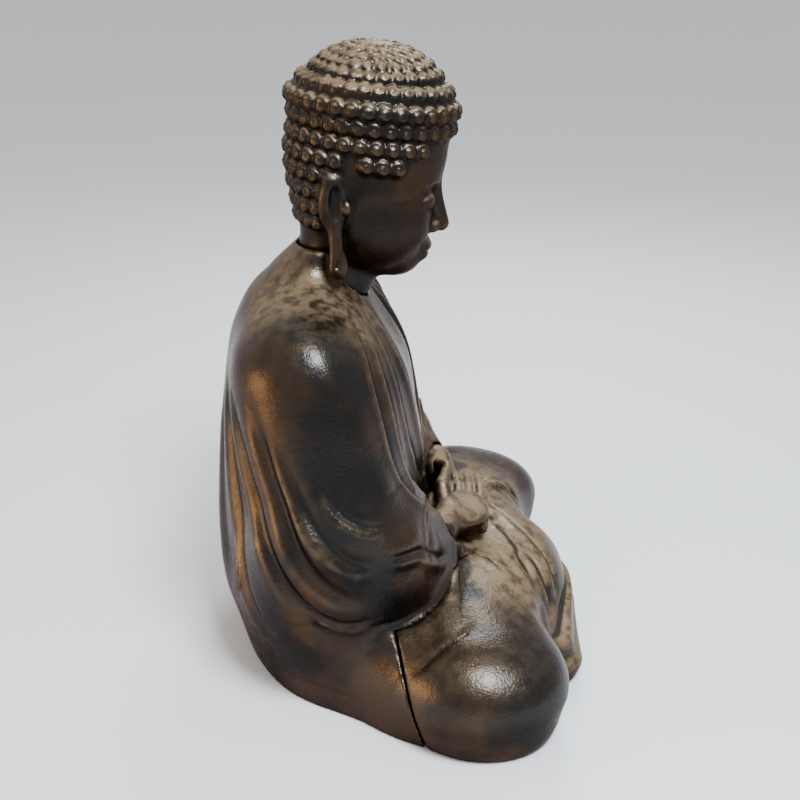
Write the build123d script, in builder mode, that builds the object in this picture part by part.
"""Seated bronze Buddha statuette, 150 mm high, as the separate castings and fittings it is built from.

Frame: millimetres, +Z up, the figure faces -Y and its left hand is on +X. The origin is the centre of
the foot, on the surface that the statue stands on.

The figure is four castings and a plug. The torso casting carries the back, arms and sleeves. The lap
casting carries the crossed legs and meets the torso on a leaning joint plane at the hips. The head
casting stands in a socket inside the collar and is drawn down by a stud. The joined hands are pinned
to the lap, and a plug closes the core hole in the crown. A screwed plate closes the hollow foot.
"""

import os
from math import cos, radians, sin

from build123d import *

os.makedirs("parts", exist_ok=True)

# Driving dimensions
WALL = 3.0
FIT = 0.1
FAR = 200.0

# Plan outline of the crossed legs and seat, right half, at its fullest level
PLAN = [
    (0.0, -45.5),
    (20.0, -44.8),
    (40.0, -41.0),
    (56.5, -33.0),
    (64.0, -20.0),
    (58.5, -5.0),
    (48.7, 8.6),
    (39.3, 20.9),
    (28.6, 30.7),
    (14.0, 38.5),
    (0.0, 41.0),
]
# Seat and its hollow: height, size of the plan outline at that level
SEAT_LEVELS = [(0.0, 0.955), (7.0, 1.0), (16.0, 0.955), (23.0, 0.84), (27.0, 0.66)]
SEAT_CORE_LEVELS = [(0.0, 0.875), (7.0, 0.92), (15.0, 0.87), (21.0, 0.75), (24.0, 0.60)]

# Torso and its hollow: height, centre depth, half width, half depth
TRUNK_SECTIONS = [
    (6.0, 15.5, 38.0, 24.0),
    (18.0, 16.5, 40.0, 27.2),
    (32.0, 17.5, 40.0, 27.9),
    (55.0, 18.5, 38.0, 25.2),
    (75.0, 19.0, 36.0, 21.8),
    (88.0, 19.0, 30.0, 17.5),
    (95.0, 18.0, 21.0, 14.0),
    (99.0, 17.2, 13.5, 10.6),
]
TRUNK_CORE_SECTIONS = [
    (14.0, 16.5, 34.0, 22.0),
    (32.0, 17.5, 36.0, 24.0),
    (55.0, 18.5, 34.0, 21.5),
    (75.0, 19.0, 30.0, 17.0),
    (84.0, 18.0, 20.0, 12.0),
]

# Arms on the left side: centre and radius at the shoulder, elbow and cuff
SHOULDER = (27.0, 20.0, 80.0, 13.5)
ELBOW = (34.0, 13.0, 47.0, 14.0)
CUFF = (20.0, -12.0, 35.0, 7.5)

# Joint between torso and lap: a plane that leans back as it rises, under a level ledge
JOINT_Y = -7.5
JOINT_LEAN = radians(16.0)
LEDGE_Z = SEAT_LEVELS[-1][0]
JOINT = Plane((0, JOINT_Y, 0), x_dir=(1, 0, 0), z_dir=(0, -cos(JOINT_LEAN), sin(JOINT_LEAN)))
WINDOW_WIDTH, WINDOW_HEIGHT, WINDOW_RISE = 30.0, 12.0, 12.5
DOWEL_RADIUS, DOWEL_LENGTH, DOWEL_AT = 1.5, 2 * WALL, (34.0, 9.0)
JOINT_SCREW_RADIUS, JOINT_SCREW_LENGTH, JOINT_SCREW_AT = 1.5, 6.5, (24.0, 14.0)
PAN_RADIUS, PAN_THICK = 2.75, 1.8

# Neck, its socket in the collar, and the stud that draws the head down
NECK_Y = 15.0
NECK_RADIUS, NECK_SEAT_Z, NECK_TOP_Z = 8.5, 94.0, 112.0
SPIGOT_RADIUS, SPIGOT_FOOT_Z = 6.5, 89.0
CORE_CEILING_Z = 84.0
STUD_RADIUS, STUD_FOOT_Z, STUD_TOP_Z = 2.5, 75.0, 104.0
WASHER_RADIUS, WASHER_THICK = 6.0, 1.2
NUT_FLATS, NUT_THICK = 8.0, 4.0

# Head, in a frame that is bowed forward about its centre: centre and radii of each form
HEAD_CENTRE, HEAD_BOW = (0.0, 5.5, 124.0), 6.0
CAP_CENTRE, CAP_RADIUS, CORE_RADIUS = (0.0, 0.9, 6.4), 18.6, 13.5
FACE = ((0.0, -3.0, -6.5), (14.6, 14.8, 17.0))
CHIN = ((0.0, -11.0, -19.5), (6.0, 5.2, 5.2))
BROW = ((0.0, -9.0, -0.5), (11.5, 9.6, 5.0))
LIPS = ((0.0, -16.2, -14.6), (3.8, 1.8, 1.6))
EYELID = ((6.0, -14.6, -4.2), (3.6, 2.2, 1.9))
EAR = ((17.0, 6.0, -8.5), (2.2, 4.4, 11.5))
NOSE_ROOT, NOSE_TIP = (0.0, -16.6, -1.5, 1.3), (0.0, -18.4, -9.2, 2.3)
PLUG_RADIUS = 4.5

# Snail curls: elevation on the hair cap in degrees, curl radius
CURL_ROWS = [(67, 1.5), (56, 1.6), (45.5, 1.7), (35, 1.8), (24.5, 1.9), (11, 2.0), (-3, 2.0), (-17, 2.0), (-31, 2.0)]
CURL_PITCH = 4.3
HAIRLINE_FRONT, HAIRLINE_BACK = -8.0, -34.0
TEMPLE_START, TEMPLE_END = 45.0, 95.0
EAR_START, EAR_END, ABOVE_EAR = 84.0, 132.0, -8.0

# Joined hands, left under right, thumbs meeting above: centre and radii, then a thumb
LOWER_HAND = ((1.5, -21.0, 30.5), (14.0, 9.0, 5.0))
UPPER_HAND = ((-1.5, -20.0, 35.2), (13.0, 8.0, 4.2))
THUMB_ROOT, THUMB_TIP = (9.0, -18.0, 37.5, 2.3), (0.6, -18.5, 43.5, 1.6)
HAND_PIN_RADIUS, HAND_PIN_LENGTH, HAND_PIN_AT = 1.0, 7.0, (6.0, -20.5)
HAND_PIN_FOOT_Z = LEDGE_Z - WALL + 0.2

# Foot closure
RECESS_SHARE, RECESS_DEPTH = 0.905, 2.7
CLOSURE_SHARE, PLATE_THICK = 0.898, 1.5
BASE_SCREW_RADIUS, BASE_SCREW_LENGTH = 1.5, 8.0
SINK_RADIUS, SINK_DEPTH = 2.75, 1.25
KNEE_SCREW_AT, SEAT_SCREW_AT = (46.0, -22.0), (20.0, 25.0)
BOSS_RADIUS, BOSS_TOP = 6.5, 12.0

BRONZE, BRASS, STEEL, GREEN_FELT = "#5A4326", "#B08D4A", "#9A9DA0", "#24402C"
ON_FOOT = (Align.CENTER, Align.CENTER, Align.MIN)


def ellipsoid(centre, radii):
    """An ellipsoid with those radii along X, Y and Z."""
    with BuildPart() as ball:
        Sphere(1)
        scale(by=radii)
    return ball.part.moved(Location(centre))


def limb(start, end):
    """A tapering round limb between two (x, y, z, radius) ends, with a ball at both."""
    a, b = Vector(*start[:3]), Vector(*end[:3])
    with BuildPart() as taper:
        with BuildSketch(Plane(a, z_dir=b - a)):
            Circle(start[3])
        with BuildSketch(Plane(b, z_dir=b - a)):
            Circle(end[3])
        loft()
        with Locations(a):
            Sphere(start[3])
        with Locations(b):
            Sphere(end[3])
    return taper.part


def both_sides(shape):
    """The shape and its mirror image across the figure's middle plane."""
    return [shape, shape.mirror(Plane.YZ)]


def in_head_frame(shape):
    return shape.moved(Location(HEAD_CENTRE, (HEAD_BOW, 0, 0)))


def plan_points(share):
    """The whole plan outline at that share of its size."""
    right = [(x * share, y * share) for x, y in PLAN]
    return right + [(-x, y) for x, y in right[-2:0:-1]]


def plan_plate(share, foot, thickness):
    """A flat plate of the plan outline."""
    with BuildPart() as plate:
        with BuildSketch(Plane.XY.offset(foot)):
            with BuildLine():
                Spline(plan_points(share), periodic=True)
            make_face()
        extrude(amount=thickness)
    return plate.part


def plan_loft(levels):
    """A cushion through the plan outline at each (height, share)."""
    with BuildPart() as cushion:
        for height, share in levels:
            with BuildSketch(Plane.XY.offset(height)):
                with BuildLine():
                    Spline(plan_points(share), periodic=True)
                make_face()
        loft()
    return cushion.part


def section_loft(sections):
    """A column through an ellipse at each (height, centre depth, half width, half depth)."""
    with BuildPart() as column:
        for height, middle, half_width, half_depth in sections:
            with BuildSketch(Plane((0, middle, height))):
                Ellipse(half_width, half_depth)
        loft()
    return column.part


def in_front_of_joint(offset, ceiling=FAR):
    """The space in front of the joint plane, moved along its normal, and below a ceiling."""
    with BuildPart() as block:
        with BuildSketch(JOINT.offset(offset)):
            Rectangle(FAR, FAR)
        extrude(amount=FAR)
        split(bisect_by=Plane.XY.offset(ceiling), keep=Keep.BOTTOM)
    return block.part


def joint_bars(radius, place, start, length):
    """Two round bars square to the joint plane, mirrored left and right."""
    with BuildPart() as bars:
        with BuildSketch(JOINT.offset(start)):
            with Locations(place, (-place[0], place[1])):
                Circle(radius)
        extrude(amount=length)
    return bars.part


def upright(radius, foot, top, places):
    """Upright round bars at the (x, y) places."""
    with BuildPart() as bars:
        with BuildSketch(Plane.XY.offset(foot)):
            with Locations(*places):
                Circle(radius)
        extrude(amount=top - foot)
    return bars.part


def four_ways(place):
    return [place, (-place[0], place[1])]


def hairline(azimuth):
    """The lowest elevation that carries curls, by the angle from the face."""
    if EAR_START < azimuth < EAR_END:
        return ABOVE_EAR
    along = min(max((azimuth - TEMPLE_START) / (TEMPLE_END - TEMPLE_START), 0), 1)
    return HAIRLINE_FRONT + (HAIRLINE_BACK - HAIRLINE_FRONT) * along


def curls():
    """Rows of round curls on the hair cap, each row set half a pitch off the row above."""
    balls = []
    for row, (elevation, radius) in enumerate(CURL_ROWS):
        level, height = CAP_RADIUS * cos(radians(elevation)), CAP_RADIUS * sin(radians(elevation))
        count = round(radians(360) * level / CURL_PITCH)
        turns = [360 * (step + 0.5 * (row % 2)) / count for step in range(count)]
        places = [
            (level * sin(radians(turn)), -level * cos(radians(turn)), height)
            for turn in turns
            if elevation > hairline(min(turn, 360 - turn))
        ]
        with BuildPart() as curl_row:
            with Locations(*places):
                Sphere(radius)
        balls += curl_row.part.moved(Location(CAP_CENTRE)).solids()
    return balls


def finish(shape, name, colour):
    shape.label = name
    shape.color = Color(colour)
    export_step(shape, f"parts/{name}.step")
    print(name, round(shape.volume), len(shape.solids()))


# Forms that several castings share
seat = plan_loft(SEAT_LEVELS)
seat_core = plan_loft(SEAT_CORE_LEVELS)
trunk = section_loft(TRUNK_SECTIONS)
arms = both_sides(limb(SHOULDER, ELBOW)) + both_sides(limb(ELBOW, CUFF))
front = in_front_of_joint(0)
recess = plan_plate(RECESS_SHARE, 0, RECESS_DEPTH)
plate_foot = RECESS_DEPTH - PLATE_THICK
knee_screws_at, seat_screws_at = four_ways(KNEE_SCREW_AT), four_ways(SEAT_SCREW_AT)
base_screws_at = knee_screws_at + seat_screws_at
screw_end = plate_foot + BASE_SCREW_LENGTH
base_screw_holes = upright(BASE_SCREW_RADIUS, 0, screw_end, base_screws_at)
dowels = joint_bars(DOWEL_RADIUS, DOWEL_AT, -DOWEL_LENGTH / 2, DOWEL_LENGTH)
joint_shanks = joint_bars(JOINT_SCREW_RADIUS, JOINT_SCREW_AT, -WALL, JOINT_SCREW_LENGTH)
joint_heads = joint_bars(PAN_RADIUS, JOINT_SCREW_AT, -WALL - PAN_THICK, PAN_THICK)
hand_pins_at = four_ways(HAND_PIN_AT)
hand_pin_top = HAND_PIN_FOOT_Z + HAND_PIN_LENGTH
hand_pins = upright(HAND_PIN_RADIUS, HAND_PIN_FOOT_Z, hand_pin_top, hand_pins_at)

with BuildPart() as window:
    with BuildSketch(JOINT.offset(-2 * WALL)):
        with Locations((0, WINDOW_RISE)):
            SlotOverall(WINDOW_WIDTH, WINDOW_HEIGHT)
    extrude(amount=4 * WALL)

# The hollow of the torso stops at a web behind the joint plane and above the ledge
with BuildPart() as torso_core:
    add(section_loft(TRUNK_CORE_SECTIONS))
    add(seat_core)
    add(in_front_of_joint(-WALL, LEDGE_Z + WALL), mode=Mode.SUBTRACT)

with BuildPart() as torso:
    add(trunk)
    add(arms)
    add(in_front_of_joint(0, LEDGE_Z), mode=Mode.SUBTRACT)
    add(seat.split(JOINT, keep=Keep.BOTTOM))
    add(torso_core.part, mode=Mode.SUBTRACT)
    add(upright(BOSS_RADIUS, RECESS_DEPTH, BOSS_TOP, seat_screws_at))
    add(recess, mode=Mode.SUBTRACT)
    add([window.part, dowels, joint_shanks, base_screw_holes], mode=Mode.SUBTRACT)
    add(upright(NECK_RADIUS + FIT, NECK_SEAT_Z, FAR, [(0, NECK_Y)]), mode=Mode.SUBTRACT)
    add(upright(SPIGOT_RADIUS + FIT, SPIGOT_FOOT_Z, NECK_TOP_Z, [(0, NECK_Y)]), mode=Mode.SUBTRACT)
    add(upright(STUD_RADIUS + FIT, CORE_CEILING_Z - WALL, NECK_SEAT_Z, [(0, NECK_Y)]), mode=Mode.SUBTRACT)
finish(torso.part, "torso_casting", BRONZE)

# The hollow of the lap leaves a post under each knee for a base screw
with BuildPart() as lap_core:
    add(seat_core.split(JOINT.offset(WALL), keep=Keep.TOP))
    add(upright(BOSS_RADIUS, RECESS_DEPTH, FAR, knee_screws_at), mode=Mode.SUBTRACT)
    add(recess)

with BuildPart() as lap:
    add(seat.split(JOINT, keep=Keep.TOP))
    add(lap_core.part, mode=Mode.SUBTRACT)
    add([window.part, dowels, joint_shanks, base_screw_holes, hand_pins], mode=Mode.SUBTRACT)
finish(lap.part, "lap_casting", BRONZE)

with BuildPart() as ball:
    Sphere(CAP_RADIUS)
cap = ball.part.moved(Location(CAP_CENTRE))
with BuildPart() as core_ball:
    Sphere(CORE_RADIUS)
skull_core = core_ball.part.moved(Location(CAP_CENTRE))
head_forms = [
    cap,
    ellipsoid(*FACE),
    ellipsoid(*CHIN),
    ellipsoid(*BROW),
    ellipsoid(*LIPS),
    limb(NOSE_ROOT, NOSE_TIP),
]
neck_at = [(0, NECK_Y)]
crown_bore = upright(PLUG_RADIUS, CAP_CENTRE[2] + CORE_RADIUS / 2, FAR, [CAP_CENTRE[:2]])
ears = both_sides(ellipsoid(*EAR)) + both_sides(ellipsoid(*EYELID))

with BuildPart() as head:
    add(in_head_frame(Part() + head_forms + ears))
    add(in_head_frame(Part() + curls()))
    add(upright(NECK_RADIUS, NECK_SEAT_Z, NECK_TOP_Z, neck_at))
    add(upright(SPIGOT_RADIUS, SPIGOT_FOOT_Z, NECK_TOP_Z, neck_at))
    add(in_head_frame(skull_core), mode=Mode.SUBTRACT)
    add(in_head_frame(crown_bore), mode=Mode.SUBTRACT)
    add(upright(STUD_RADIUS, SPIGOT_FOOT_Z, STUD_TOP_Z, neck_at), mode=Mode.SUBTRACT)
finish(head.part, "head_casting", BRONZE)

with BuildPart() as plug:
    add(crown_bore)
    add(cap, mode=Mode.INTERSECT)
    add(skull_core, mode=Mode.SUBTRACT)
finish(in_head_frame(plug.part), "crown_plug", BRONZE)

with BuildPart() as hands:
    add(ellipsoid(*LOWER_HAND))
    add(ellipsoid(*UPPER_HAND))
    add(both_sides(limb(THUMB_ROOT, THUMB_TIP)))
    add([trunk, *arms, hand_pins], mode=Mode.SUBTRACT)
    split(bisect_by=Plane.XY.offset(LEDGE_Z), keep=Keep.TOP)
finish(hands.part, "hands_casting", BRONZE)

finish(hand_pins, "hand_pins", BRASS)

with BuildPart() as stud:
    add(upright(STUD_RADIUS, STUD_FOOT_Z, STUD_TOP_Z, neck_at))
    chamfer(stud.edges().filter_by(GeomType.CIRCLE), 0.5)
finish(stud.part, "neck_stud", STEEL)

washer_top = CORE_CEILING_Z
with BuildPart() as washer:
    add(upright(WASHER_RADIUS, washer_top - WASHER_THICK, washer_top, neck_at))
    add(upright(STUD_RADIUS, STUD_FOOT_Z, STUD_TOP_Z, neck_at), mode=Mode.SUBTRACT)
finish(washer.part, "neck_washer", STEEL)

with BuildPart() as nut:
    with BuildSketch(Plane((0, NECK_Y, washer_top - WASHER_THICK - NUT_THICK))):
        RegularPolygon(NUT_FLATS / 2, 6, major_radius=False)
        Circle(STUD_RADIUS, mode=Mode.SUBTRACT)
    extrude(amount=NUT_THICK)
finish(nut.part, "neck_nut", STEEL)

finish(dowels, "lap_dowels", STEEL)

with BuildPart() as joint_screws:
    add(joint_shanks)
    add(joint_heads)
    chamfer(joint_screws.faces().sort_by(Axis.Y)[:2].edges(), 0.4)
finish(joint_screws.part, "lap_screws", STEEL)

with BuildPart() as base_screws:
    with Locations(*[(x, y, plate_foot) for x, y in base_screws_at]):
        Cone(SINK_RADIUS, BASE_SCREW_RADIUS, SINK_DEPTH, align=ON_FOOT)
        Cylinder(BASE_SCREW_RADIUS, BASE_SCREW_LENGTH, align=ON_FOOT)
finish(base_screws.part, "base_screws", BRASS)

with BuildPart() as plate:
    add(plan_plate(CLOSURE_SHARE, plate_foot, PLATE_THICK))
    add(base_screws.part, mode=Mode.SUBTRACT)
finish(plate.part, "base_plate", BRASS)

finish(plan_plate(CLOSURE_SHARE, 0, plate_foot), "felt_pad", GREEN_FELT)
